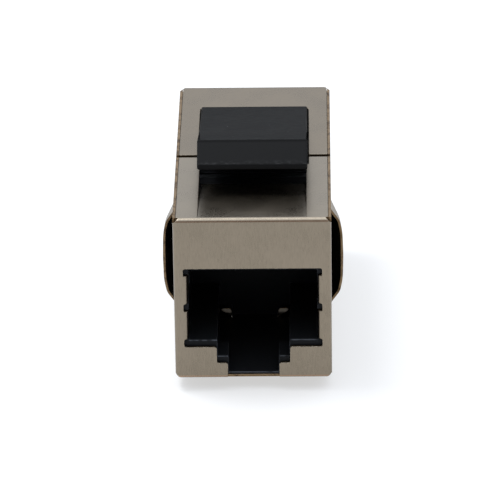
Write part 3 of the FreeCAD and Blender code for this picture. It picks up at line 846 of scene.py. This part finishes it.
def latch_profile(sizes):
    """Side view of the latch as (y, z, radius) corners, clockwise from the nose's lower edge."""
    low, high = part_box(LATCH)
    nose_y = low.y
    nose_z = high.z - sizes.ramp_fall
    crest_y = nose_y + sizes.ramp_run
    catch_y = catch_place(sizes)
    rear_y = PIVOT.y - sizes.neck_reach
    slope = (sizes.arm_front - sizes.arm_rear) / (rear_y - catch_y)

    def underside(y):
        return PLATE_TOP + sizes.arm_front - (y - catch_y) * slope - sizes.arm_thickness

    head_y = nose_y + sizes.nose_back
    root_y = rear_y - sizes.arm_root
    neck_low = PLATE_TOP - sizes.neck_top - sizes.neck_thickness
    corner = sizes.latch_corner
    front = [
        (nose_y, nose_z - sizes.nose_face, corner),
        (nose_y, nose_z, corner),
        (crest_y, high.z, corner),
        (crest_y + sizes.crest_flat, high.z, corner),
        (catch_y, PLATE_TOP + sizes.arm_front, corner),
        (rear_y, PLATE_TOP + sizes.arm_rear, corner),
        (rear_y, PLATE_TOP - sizes.neck_top, 0.0),
    ]
    back = [
        (rear_y - sizes.neck_thickness / 2, neck_low, corner),
        (root_y, underside(root_y), sizes.arm_thickness),
        (head_y, underside(head_y), sizes.arm_thickness),
    ]
    return front + knuckle_arc(sizes) + back


def side_stations(sizes):
    """Places across the latch's rounded side, from its edge inwards, with the inset at each."""
    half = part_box(LATCH)[1].x
    edge = sizes.latch_edge
    stations = []
    for k in range(SIDE_STEPS + 1):
        turn = math.pi / 2 * (1 - k / SIDE_STEPS)
        stations.append((half - edge * (1 - math.sin(turn)), edge * (1 - math.cos(turn))))
    return stations


def latch_form(sizes):
    """Latch swept across its width, with rounded sides and an arm narrower than its head."""
    outline = rounded_outline(latch_profile(sizes), CORNER_STEPS)
    arm_start = catch_place(sizes) - sizes.catch_lean / 2
    stations = side_stations(sizes)
    form = bmesh.new()
    rings = []
    for x, inset in [(-x, inset) for x, inset in stations] + stations[::-1]:
        ring = []
        for point in inset_outline(outline, inset):
            narrow = sizes.arm_inset if point.x > arm_start else 0.0
            ring.append(form.verts.new((x - math.copysign(narrow, x), point.x, point.y)))
        rings.append(ring)
    count = len(outline)
    for ring, following in zip(rings, rings[1:]):
        for i in range(count):
            j = (i + 1) % count
            form.faces.new((ring[i], ring[j], following[j], following[i]))
    form.faces.new(rings[0][::-1])
    form.faces.new(rings[-1])
    bmesh.ops.recalc_face_normals(form, faces=form.faces)
    cut_large_faces(form)
    return form


# Pieces

class KEYSTONE_OT_shells(bpy.types.Operator):
    """Make the two folded shells, plated on their skin and bare at their cut edges"""
    bl_idname = "keystone.shells"
    bl_label = "Shells"

    def execute(self, context):
        scene = context.scene
        finish = scene.keystone_finish
        sheared = cut_edge(finish)
        for node, base in zip(SHELLS, (finish.front_nickel, finish.rear_nickel)):
            form = welded(node)
            mark_cut_edges(form, scene.keystone_form.sheet)
            plated = nickel_plate("nickel_" + node, base, finish)
            piece = new_piece(form, "plated_" + node, [plated, sheared], SHELL_SMOOTH)
            seat(piece, MODULE, node)
        return {"FINISHED"}


class KEYSTONE_OT_housings(bpy.types.Operator):
    """Make the two jack housings with moulded, rounded edges"""
    bl_idname = "keystone.housings"
    bl_label = "Housings"

    def execute(self, context):
        scene = context.scene
        finish = scene.keystone_finish
        plastic = moulded_plastic(
            "housing_plastic", finish.housing, finish.housing_shine, finish, **HOUSING_SKIN)
        for node in HOUSINGS:
            form = welded(node)
            round_edges(form, scene.keystone_form.housing_edge)
            piece = new_piece(form, "moulded_" + node, [plastic], HOUSING_SMOOTH)
            seat(piece, MODULE, node)
        return {"FINISHED"}


class KEYSTONE_OT_latch(bpy.types.Operator):
    """Make the snap latch"""
    bl_idname = "keystone.latch"
    bl_label = "Latch"

    def execute(self, context):
        scene = context.scene
        sizes = scene.keystone_form
        plastic = latch_plastic(scene.keystone_finish, sizes)
        piece = new_piece(latch_form(sizes), "snap_latch", [plastic], LATCH_SMOOTH)
        seat(piece, LATCH, LATCH)
        return {"FINISHED"}


class KEYSTONE_OT_contacts(bpy.types.Operator):
    """Dress the sprung contact wires and the carriers that they lie in"""
    bl_idname = "keystone.contacts"
    bl_label = "Contacts"

    def execute(self, context):
        finish = context.scene.keystone_finish
        dress(CONTACTS, contact_gold(finish))
        plastic = moulded_plastic(
            "carrier_plastic", finish.housing, finish.housing_shine, finish, **CARRIER_SKIN)
        dress(CARRIERS, plastic)
        return {"FINISHED"}


class KEYSTONE_OT_board(bpy.types.Operator):
    """Dress the circuit board"""
    bl_idname = "keystone.board"
    bl_label = "Board"

    def execute(self, context):
        dress([BOARD], board_mask(context.scene.keystone_finish))
        return {"FINISHED"}


# Heights, from 0 at the horizon to 1 overhead, between which the studio's walls brighten
BACK_WALL_RISE = (0.06, 0.38)
CEILING_RISE = (0.55, 0.85)
CAMERA_SIDE_RISE = (0.58, 0.9)

# Turn to the rear over which the camera's side gives way to the back wall
REAR_TURN = (-0.15, 0.15)


class KEYSTONE_OT_stage(bpy.types.Operator):
    """Set the floor, the light and the camera"""
    bl_idname = "keystone.stage"
    bl_label = "Stage"

    def execute(self, context):
        scene = context.scene
        stage = scene.keystone_stage
        self.floor(scene, stage)
        self.world(scene, stage)
        self.light_panel(scene, stage)
        self.camera(scene, stage)
        scene.view_settings.view_transform = "Standard"
        return {"FINISHED"}

    def floor(self, scene, stage):
        half = stage.floor_size / 2
        mesh = bpy.data.meshes.new("floor")
        corners = [(-half, -half, 0), (half, -half, 0), (half, half, 0), (-half, half, 0)]
        mesh.from_pydata(corners, [], [(0, 1, 2, 3)])
        mesh.materials.append(self.white_floor(stage))
        floor = bpy.data.objects.new("floor", mesh)
        scene.collection.objects.link(floor)

    def white_floor(self, stage):
        material = bpy.data.materials.new("white_floor")
        material.use_nodes = True
        tree = material.node_tree
        tree.nodes.clear()
        output = tree.nodes.new("ShaderNodeOutputMaterial")
        matte = tree.nodes.new("ShaderNodeBsdfDiffuse")
        matte.inputs["Color"].default_value = opaque([stage.floor_tone] * 3)
        glow = tree.nodes.new("ShaderNodeEmission")
        path = tree.nodes.new("ShaderNodeLightPath").outputs
        seen = math_node(tree, "ADD", path["Is Camera Ray"], path["Is Glossy Ray"])
        seen = math_node(tree, "ADD", seen, path["Is Transmission Ray"], clamp=True)
        mix = tree.nodes.new("ShaderNodeMixShader")
        tree.links.new(product(tree, seen, 1 - stage.shadow_depth), mix.inputs["Fac"])
        tree.links.new(matte.outputs[0], mix.inputs[1])
        tree.links.new(glow.outputs[0], mix.inputs[2])
        tree.links.new(mix.outputs[0], output.inputs["Surface"])
        return material

    def world(self, scene, stage):
        world = bpy.data.worlds.new("studio")
        scene.world = world
        world.use_nodes = True
        tree = world.node_tree
        tree.nodes.clear()
        output = tree.nodes.new("ShaderNodeOutputWorld")
        background = tree.nodes.new("ShaderNodeBackground")
        way = split_vector(tree, tree.nodes.new("ShaderNodeTexCoord").outputs["Generated"])
        behind = spread(tree, way["Z"], *BACK_WALL_RISE, stage.horizon, stage.back_wall)
        overhead = spread(tree, way["Z"], *CEILING_RISE)
        wall = spread(tree, overhead, 0.0, 1.0, behind, stage.ceiling)
        front = spread(tree, way["Z"], *CAMERA_SIDE_RISE, stage.camera_side, stage.ceiling)
        around = spread(tree, way["Y"], *REAR_TURN, front, wall)
        background.inputs["Color"].default_value = opaque(stage.sky)
        tree.links.new(around, background.inputs["Strength"])
        tree.links.new(background.outputs[0], output.inputs["Surface"])

    def light_panel(self, scene, stage):
        data = bpy.data.lights.new("left_panel", "AREA")
        data.shape = "SQUARE"
        data.size = stage.panel_size
        data.energy = stage.panel_power
        light = bpy.data.objects.new("left_panel", data)
        scene.collection.objects.link(light)
        light.location = stage.panel_place
        middle = (Vector(cad_box[0]) + Vector(cad_box[1])) / 2
        light.rotation_euler = (middle - light.location).to_track_quat("-Z", "Y").to_euler()

    def camera(self, scene, stage):
        data = bpy.data.cameras.new("camera")
        data.lens = stage.lens
        camera = bpy.data.objects.new("camera", data)
        scene.collection.objects.link(camera)
        turn = Matrix.Rotation(stage.azimuth, 3, "Z")
        tilt = Matrix.Rotation(math.pi / 2 - stage.elevation, 3, "X")
        roll = Matrix.Rotation(stage.roll, 3, "Z")
        facing = turn @ tilt @ roll
        back = facing @ Vector((0, 0, 1))
        stand = Matrix.Translation(Vector(stage.aim) + back * stage.distance)
        camera.matrix_world = stand @ facing.to_4x4()
        scene.camera = camera


class KEYSTONE_PT_steps(bpy.types.Panel):
    """Lists the steps in the sidebar"""
    bl_idname = "KEYSTONE_PT_steps"
    bl_label = "Keystone module"
    bl_space_type = "VIEW_3D"
    bl_region_type = "UI"
    bl_category = "Keystone"

    def draw(self, context):
        for step in STEPS:
            self.layout.operator(step.bl_idname)


STEPS = [
    KEYSTONE_OT_shells,
    KEYSTONE_OT_housings,
    KEYSTONE_OT_latch,
    KEYSTONE_OT_contacts,
    KEYSTONE_OT_board,
    KEYSTONE_OT_stage,
]
SETTINGS = {
    "keystone_form": KeystoneForm,
    "keystone_finish": KeystoneFinish,
    "keystone_stage": KeystoneStage,
}
CLASSES = [*SETTINGS.values(), *STEPS, KEYSTONE_PT_steps]


def register():
    for cls in CLASSES:
        bpy.utils.register_class(cls)
    for name, settings in SETTINGS.items():
        setattr(bpy.types.Scene, name, bpy.props.PointerProperty(type=settings))


def unregister():
    for name in SETTINGS:
        delattr(bpy.types.Scene, name)
    for cls in reversed(CLASSES):
        bpy.utils.unregister_class(cls)


def main():
    register()
    bpy.ops.keystone.shells()
    bpy.ops.keystone.housings()
    bpy.ops.keystone.latch()
    bpy.ops.keystone.contacts()
    bpy.ops.keystone.board()
    bpy.ops.keystone.stage()


if __name__ == "__main__":
    main()
